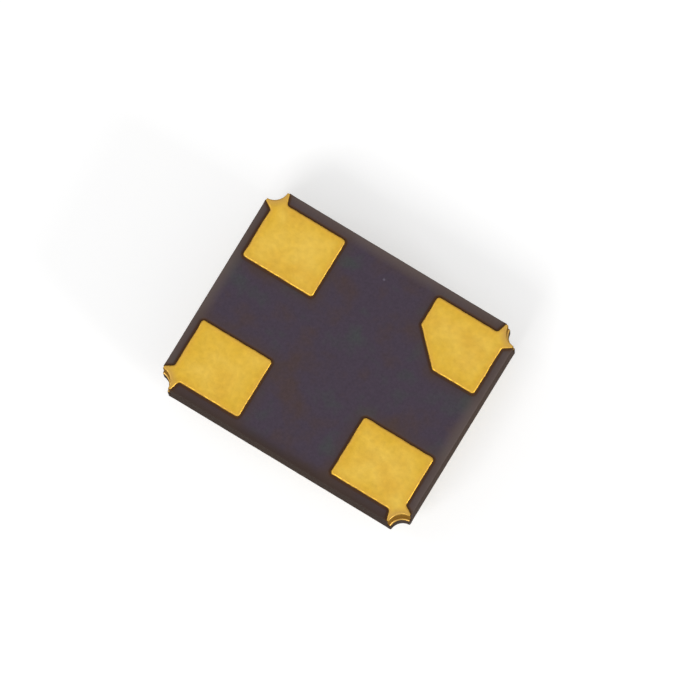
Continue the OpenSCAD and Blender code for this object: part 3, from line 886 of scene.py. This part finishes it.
def build_lid(sizes):
    """The lid, whose margin the weld wheels have pressed down, with its outline and the height of its top."""
    low, high = box_mm("lid")
    outline = rounded_rectangle((high - low)[:2], RING_R - sizes.margin, 12)
    press_w, press_z = sizes.press_w, low[2] + sizes.press_h
    bm = bmesh.new()
    made = stack(bm, [(inset(outline, d), z) for d, z in (
        (press_w, low[2]),
        (press_w * 0.9, low[2] + sizes.press_h * 0.06),
        (press_w * 0.5, low[2] + sizes.press_h * 0.5),
        (press_w * 0.2, press_z),
        (0.006, press_z + 0.004),
        (0.0015, press_z + 0.01),
        (0, press_z + 0.018),
        (0, high[2] - 0.004),
        (0, high[2]),
    )])
    bm.faces.new(made[0])
    bm.faces.new(made[-1])
    return to_object("lid_plate", bm), outline, high[2]


def new_tree(name, sizes):
    """A geometry tree that takes geometry, named sizes and a material: gives it with its inputs."""
    tree = bpy.data.node_groups.new(name, "GeometryNodeTree")
    tree.interface.new_socket("Geometry", in_out="INPUT", socket_type="NodeSocketGeometry")
    for label, value in sizes.items():
        tree.interface.new_socket(label, in_out="INPUT", socket_type="NodeSocketFloat").default_value = value
    tree.interface.new_socket("Material", in_out="INPUT", socket_type="NodeSocketMaterial")
    tree.interface.new_socket("Geometry", in_out="OUTPUT", socket_type="NodeSocketGeometry")
    return tree, add(tree, "NodeGroupInput").outputs


def close_tree(tree, geometry, material):
    """Ends a geometry tree in real geometry that carries its material."""
    real = add(tree, "GeometryNodeRealizeInstances", {"Geometry": geometry})
    coated = add(tree, "GeometryNodeSetMaterial", {"Geometry": real, "Material": material})
    add(tree, "NodeGroupOutput", {0: coated})
    return tree


def weld_bead_tree():
    """Weld bead: a tube along the lid's edge whose radius steps once for each overlapping weld spot."""
    tree, given = new_tree("weld_bead", {"Bead radius": 0.016, "Pitch": 0.034, "Ripple": 0.28})
    path = add(tree, "GeometryNodeMeshToCurve", {"Mesh": given["Geometry"]})
    step = add(tree, "ShaderNodeMath", {0: given["Pitch"], 1: 6.0}, operation="DIVIDE")
    fine = add(tree, "GeometryNodeResampleCurve", {"Curve": path, "Length": step}, mode="LENGTH")
    along = add(tree, "GeometryNodeSplineParameter").outputs["Length"]
    spots = add(tree, "ShaderNodeMath", {0: along, 1: given["Pitch"]}, operation="DIVIDE")
    share = add(tree, "ShaderNodeMath", {0: spots}, operation="FRACT")
    dip = add(tree, "ShaderNodeMath", {0: share, 1: given["Ripple"]}, operation="MULTIPLY")
    swell = add(tree, "ShaderNodeMath", {0: 1.0, 1: dip}, operation="SUBTRACT")
    radius = add(tree, "ShaderNodeMath", {0: swell, 1: given["Bead radius"]}, operation="MULTIPLY")
    circle = add(tree, "GeometryNodeCurvePrimitiveCircle", {"Resolution": 10, "Radius": 1.0})
    tube = add(tree, "GeometryNodeCurveToMesh", {"Curve": fine, "Profile Curve": circle, "Scale": radius})
    return close_tree(tree, tube, given["Material"])


def bond_wire_tree():
    """Bond wire: a round tube along its path, with a flattened ball at the first point."""
    tree, given = new_tree("bond_wire", {"Wire diameter": 0.02, "Ball radius": 0.028, "Ball height": 0.012})
    path = add(tree, "GeometryNodeMeshToCurve", {"Mesh": given["Geometry"]})
    radius = add(tree, "ShaderNodeMath", {0: given["Wire diameter"], 1: 2.0}, operation="DIVIDE")
    circle = add(tree, "GeometryNodeCurvePrimitiveCircle", {"Resolution": 16, "Radius": 1.0})
    tube = add(tree, "GeometryNodeCurveToMesh", {
        "Curve": path, "Profile Curve": circle, "Scale": radius, "Fill Caps": True})
    half = add(tree, "ShaderNodeMath", {0: given["Ball height"], 1: 2.0}, operation="DIVIDE")
    shape = add(tree, "ShaderNodeCombineXYZ", {
        "X": given["Ball radius"], "Y": given["Ball radius"], "Z": half})
    down = add(tree, "ShaderNodeMath", {0: half, 1: -1.0}, operation="MULTIPLY")
    lift = add(tree, "ShaderNodeCombineXYZ", {"Z": down})
    ball = add(tree, "GeometryNodeMeshUVSphere", {"Segments": 24, "Rings": 12, "Radius": 1.0})
    flat = add(tree, "GeometryNodeTransform", {"Geometry": ball, "Scale": shape, "Translation": lift})
    start = add(tree, "GeometryNodeCurveEndpointSelection", {"Start Size": 1, "End Size": 0})
    placed = add(tree, "GeometryNodeInstanceOnPoints", {"Points": path, "Selection": start, "Instance": flat})
    both = add(tree, "GeometryNodeJoinGeometry")
    feed(both, {0: placed})
    feed(both, {0: tube})
    return close_tree(tree, both, given["Material"])


def grow(name, points, tree, values, closed=False):
    """Runs a geometry tree on a path and gives the result as a plain mesh object, in millimetres."""
    count = len(points)
    edges = [(i, (i + 1) % count) for i in range(count if closed else count - 1)]
    mesh = bpy.data.meshes.new(name)
    mesh.from_pydata([tuple(p) for p in points], edges, [])
    made = link_object(name, mesh)
    modifier = made.modifiers.new(tree.name, "NODES")
    modifier.node_group = tree
    names = {s.name: s.identifier for s in tree.interface.items_tree if s.in_out == "INPUT"}
    for label, value in values.items():
        modifier[names[label]] = value
    settle(made)
    bm = bmesh.new()
    bm.from_mesh(made.data)
    tidy(bm)
    bm.to_mesh(made.data)
    bm.free()
    return made


def wire_path(sizes, node):
    """Path of a bond wire from the chip up, round its bend and down to its finger, from its CAD box."""
    low, high = box_mm(node)
    chip_low, chip_high = box_mm("ic_die")
    toward = 1 if high[1] > -low[1] else -1
    near, far = (low[1], high[1]) if toward > 0 else (high[1], low[1])
    middle = (chip_low[0] + chip_high[0]) / 2
    aside = (low[0] + high[0]) / 2 - middle
    if abs(aside) < sizes.ball_r / 2:
        x0 = x1 = middle
    else:
        inner, outer = (low[0], high[0]) if aside > 0 else (high[0], low[0])
        x0 = inner + math.copysign(sizes.ball_r, aside)
        x1 = outer - math.copysign(sizes.diameter / 2, aside)
    start = Vector((x0, near + toward * sizes.ball_r, chip_low[2]))
    end = Vector((x1, far - toward * sizes.diameter / 2, high[2] - sizes.diameter / 3))
    flat = Vector((end.x - start.x, end.y - start.y, 0))
    ahead = flat.normalized()
    turn = math.pi / 2 + sizes.slope
    rise = Vector((start.x, start.y, low[2] + sizes.diameter / 2 + sizes.bend_r))
    points = [start, (start + rise) / 2]
    for angle in np.linspace(0, turn, sizes.steps):
        drop = Vector((0, 0, sizes.bend_r * math.sin(angle)))
        points.append(rise + ahead * sizes.bend_r * (1 - math.cos(angle)) - drop)
    leave = points[-1]
    slant = ahead * (flat.length - sizes.bend_r * (1 - math.cos(turn)))
    slant.z = end.z - leave.z
    return points + [leave + slant * share for share in (0.25, 0.5, 0.75, 0.93, 1)]


def lamp(name, direction, size, level, distance=0.16):
    """A square soft lamp aimed at the part; level is the share of full light it gives a facing surface."""
    data = bpy.data.lights.new(name, "AREA")
    data.shape, data.size = "SQUARE", size
    data.energy = level * math.pi ** 2 * distance ** 2
    made = link_object(name, data)
    made.location = Vector(direction).normalized() * distance
    made.rotation_mode = "QUATERNION"
    made.rotation_quaternion = Vector(direction).to_track_quat("Z", "Y")


def studio_world(ambient):
    """White surroundings that seen rays meet at full strength and matt surfaces at the ambient one."""
    world = bpy.data.worlds.new("studio")
    bpy.context.scene.world = world
    world.use_nodes = True
    tree = world.node_tree
    rays = add(tree, "ShaderNodeLightPath").outputs
    seen = add(tree, "ShaderNodeMath", {0: rays["Is Camera Ray"], 1: rays["Is Glossy Ray"]}, operation="ADD")
    seen = add(tree, "ShaderNodeMath", {
        0: seen, 1: rays["Is Transmission Ray"]}, operation="ADD", use_clamp=True)
    strength = add(tree, "ShaderNodeMapRange", {"Value": seen, "To Min": ambient, "To Max": 1.0})
    feed(tree.nodes["Background"], {"Color": (1, 1, 1, 1), "Strength": strength})


# ---------------------------------------------------------------- operators

class OSCILLATOR_OT_ceramic_body(bpy.types.Operator):
    """Build the fired ceramic body"""
    bl_idname = "oscillator.ceramic_body"
    bl_label = "Ceramic body"

    def execute(self, context):
        sizes = Sizes(context.scene.oscillator_ceramic)
        made = build_ceramic(sizes, Sizes(context.scene.oscillator_terminals))
        finish_piece(made, fired_alumina(sizes), "dark_alumina", "ceramic_base")
        return {"FINISHED"}


class OSCILLATOR_OT_terminals(bpy.types.Operator):
    """Build the four plated terminals"""
    bl_idname = "oscillator.terminals"
    bl_label = "Terminals"

    def execute(self, context):
        sizes = Sizes(context.scene.oscillator_terminals)
        material = plated_gold(sizes)
        ceramic = Sizes(context.scene.oscillator_ceramic)
        for name, made in build_terminals(sizes, ceramic.notch_r, ceramic.ledge_w).items():
            finish_piece(made, material, "gold_terminal", f"terminal_{name}")
        return {"FINISHED"}


class OSCILLATOR_OT_seal(bpy.types.Operator):
    """Build the seal land, the braze and the seal ring"""
    bl_idname = "oscillator.seal"
    bl_label = "Seal"

    def execute(self, context):
        sizes = Sizes(context.scene.oscillator_seal)
        ceramic = Sizes(context.scene.oscillator_ceramic)
        side_x = box_mm("ceramic_base")[1][0]
        margins = {node: side_x - box_mm(node)[1][0] for node in ("seal_land", "braze_ring", "seal_ring")}
        heights = {node: (box_mm(node)[0][2], box_mm(node)[1][2]) for node in margins}
        sections = {
            "seal_land": wall_section(
                *heights["seal_land"], edge_profile(sizes.film_r, sizes.film_r, 3, 0.0015)),
            "braze_ring": hollow_section(
                *heights["braze_ring"], margins["seal_ring"] - margins["braze_ring"]),
            "seal_ring": wall_section(
                *heights["seal_ring"], edge_profile(sizes.edge_r, sizes.edge_r)),
        }
        # silver-copper braze: pale, wet-looking where it flowed
        braze = grained("flowed_braze", linear("#cbb98f"), sizes.braze, 0.05, 0.28, 1.0)
        # gold flashed over nickel on a stamped and tumbled ring
        ring_gold = grained("flashed_gold", linear("#cfae62"), sizes.ring, 0.04, 0.3, 1.0)
        # gold plate on fired tungsten paste, seen only as a thin line under the ring
        land_gold = grained("land_gold", linear("#c99a3c"), linear("#dfb658"), 0.03, 0.42, 1.0)
        for node, name, material, slot in (
                ("seal_land", "seal_land_film", land_gold, "gold_plated_land"),
                ("braze_ring", "braze_fillet", braze, "silver_copper_braze"),
                ("seal_ring", "seal_ring_frame", ring_gold, "gold_plated_alloy")):
            step = margins[node] - margins["seal_land"]
            rail = ceramic.wall - sizes.land_gap - margins[node] - step
            outer_r = RING_R + margins["seal_ring"] - margins[node]
            mouth_r = ceramic.cavity_r + sizes.land_gap + step
            made = build_frame(name, node, rail, outer_r, mouth_r, sections[node])
            finish_piece(made, material, slot, node)
        return {"FINISHED"}


class OSCILLATOR_OT_lid(bpy.types.Operator):
    """Build the lid and the weld bead round it"""
    bl_idname = "oscillator.lid"
    bl_label = "Lid"

    def execute(self, context):
        sizes = Sizes(context.scene.oscillator_lid)
        made, outline, height = build_lid(sizes)
        finish_piece(made, rolled_nickel(sizes), "nickel_plated_alloy", "lid")
        # nickel and gold melted together by the weld: greyish, duller than the lid
        melt = grained("weld_melt", linear("#9c8f78"), linear("#c4b697"), 0.03, 0.4, 1.0)
        out, sink = sizes.bead_r * 0.15, sizes.bead_r * 0.35  # of the bead's centre from the lid's top edge
        path = inset(split_long(outline, 0.05), -out)
        centre = np.column_stack([path, np.full(len(path), height - sink)])
        bead = grow("weld_bead", centre, weld_bead_tree(), {
            "Bead radius": sizes.bead_r, "Pitch": sizes.pitch, "Material": melt}, closed=True)
        finish_piece(bead, melt, "nickel_plated_alloy")
        return {"FINISHED"}


class OSCILLATOR_OT_wires(bpy.types.Operator):
    """Build the six gold bond wires"""
    bl_idname = "oscillator.wires"
    bl_label = "Bond wires"

    def execute(self, context):
        sizes = Sizes(context.scene.oscillator_wires)
        # drawn gold: bright, with faint draw marks
        gold = grained("drawn_gold", linear("#e2b24c"), sizes.gold, 0.012, 0.2, 1.0, 0.0005)
        tree = bond_wire_tree()
        for node in sorted(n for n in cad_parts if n.startswith("wire_")):
            name = node.replace("wire_", "bond_wire_")
            made = grow(name, wire_path(sizes, node), tree, {
                "Wire diameter": sizes.diameter, "Ball radius": sizes.ball_r, "Ball height": sizes.ball_h,
                "Material": gold})
            finish_piece(made, gold, "gold_wire", node)
        return {"FINISHED"}


class OSCILLATOR_OT_inside(bpy.types.Operator):
    """Give the conductors, chip, glue and crystal inside their finishes"""
    bl_idname = "oscillator.inside"
    bl_label = "Parts inside"

    def execute(self, context):
        # printed and fired tungsten paste: dark grey, matt and granular
        tungsten = grained("fired_tungsten", linear("#6f6c69"), linear("#8c8884"), 0.015, 0.6, 1.0)
        # gold plate on the pocket's metallised floor
        pad_gold = grained("pocket_gold", linear("#c99a3c"), linear("#dfb658"), 0.03, 0.42, 1.0)
        # silver flakes in epoxy: pale grey, glittering and uneven
        glue = grained("cured_silver_glue", linear("#a3a3a1"), linear("#d5d5d2"), 0.012, 0.45, 0.6, 0.003)
        # polished silicon with its metal layers: blue-grey and smooth
        silicon = grained("polished_silicon", linear("#3c4450"), linear("#555d68"), 0.06, 0.15, 0.7, 0.0002)
        # evaporated silver: mirror-like, taking the quartz's fine frost
        film = grained("evaporated_silver", linear("#e8e6e0"), linear("#f5f4ef"), 0.02, 0.18, 1.0, 0.0005)
        finishes = {
            "lead_": tungsten, "crystal_lead_": tungsten, "die_pad": pad_gold, "die_attach": glue,
            "ic_die": silicon, "glue_dot_": glue, "quartz_blank": lapped_quartz(), "lid_side_electrode": film,
            "chip_side_electrode": film,
        }
        for node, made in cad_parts.items():
            for start, material in finishes.items():
                if node.startswith(start):
                    made.material_slots[0].material = material
        return {"FINISHED"}


class OSCILLATOR_OT_stage(bpy.types.Operator):
    """Set the floor, the lamps, the surroundings and the camera"""
    bl_idname = "oscillator.stage"
    bl_label = "Stage"

    def execute(self, context):
        sizes = context.scene.oscillator_stage
        scene = context.scene
        scene.view_settings.view_transform = "Standard"
        bm = bmesh.new()
        bmesh.ops.create_grid(bm, x_segments=1, y_segments=1, size=600)
        floor = to_object("floor", bm)
        floor.data.transform(Matrix.Scale(MM, 4))
        paper, tree, shader, _ = start_material("pale_floor")
        rays = add(tree, "ShaderNodeLightPath").outputs
        seen = add(tree, "ShaderNodeMath", {0: rays["Is Camera Ray"], 1: sizes.lift}, operation="MULTIPLY")
        feed(shader, {
            "Base Color": tuple(sizes.floor), "Roughness": 0.9, "Specular IOR Level": 0.0,
            "Emission Color": (1, 1, 1, 1), "Emission Strength": seen})
        floor.data.materials.append(paper)
        studio_world(sizes.ambient)
        lamp("lamp_front", (-0.1, -0.75, 0.85), 0.07, 0.39)
        lamp("lamp_left", (-0.8, -0.1, 0.7), 0.06, 0.12)
        lamp("lamp_right", (0.9, -0.1, 0.3), 0.06, 0.55)

        toward = Vector((
            math.sin(sizes.tilt) * math.cos(sizes.heading),
            math.sin(sizes.tilt) * math.sin(sizes.heading),
            math.cos(sizes.tilt)))
        plan_up = (Vector((0, 1, 0)) - toward * toward.y).normalized()
        plan_right = plan_up.cross(toward)
        right = plan_right * math.cos(sizes.roll) + plan_up * math.sin(sizes.roll)
        up = plan_up * math.cos(sizes.roll) - plan_right * math.sin(sizes.roll)
        middle = (CAD_BOX[0] + CAD_BOX[1]) / 2
        aim = middle + right * sizes.aim_right + up * sizes.aim_up
        data = bpy.data.cameras.new("camera")
        data.lens = data.sensor_width * sizes.distance / sizes.view_w
        data.clip_start, data.clip_end = sizes.distance / 100, sizes.distance * 100
        camera = link_object("camera", data)
        turn = Matrix((right, up, toward)).transposed()
        camera.matrix_world = Matrix.Translation(aim + toward * sizes.distance) @ turn.to_4x4()
        scene.camera = camera
        return {"FINISHED"}


OPERATORS = (
    OSCILLATOR_OT_ceramic_body, OSCILLATOR_OT_terminals, OSCILLATOR_OT_seal, OSCILLATOR_OT_lid,
    OSCILLATOR_OT_wires, OSCILLATOR_OT_inside, OSCILLATOR_OT_stage)


class OSCILLATOR_PT_panel(bpy.types.Panel):
    """Builds the oscillator piece by piece"""
    bl_idname = "OSCILLATOR_PT_panel"
    bl_label = "Oscillator"
    bl_space_type = "VIEW_3D"
    bl_region_type = "UI"
    bl_category = "Oscillator"

    def draw(self, context):
        for operator in OPERATORS:
            self.layout.operator(operator.bl_idname)
        for name, group in GROUPS.items():
            section = self.layout.box()
            section.label(text=group.__name__.replace("Settings", ""))
            for field in group.__annotations__:
                section.prop(getattr(context.scene, name), field)


def register():
    for group in GROUPS.values():
        bpy.utils.register_class(group)
    for operator in OPERATORS:
        bpy.utils.register_class(operator)
    bpy.utils.register_class(OSCILLATOR_PT_panel)
    for name, group in GROUPS.items():
        setattr(bpy.types.Scene, name, PointerProperty(type=group))


def unregister():
    for name in GROUPS:
        delattr(bpy.types.Scene, name)
    bpy.utils.unregister_class(OSCILLATOR_PT_panel)
    for operator in reversed(OPERATORS):
        bpy.utils.unregister_class(operator)
    for group in reversed(list(GROUPS.values())):
        bpy.utils.unregister_class(group)


def main():
    register()
    for operator in OPERATORS:
        getattr(bpy.ops.oscillator, operator.bl_idname.split(".")[1])()


if __name__ == "__main__":
    main()
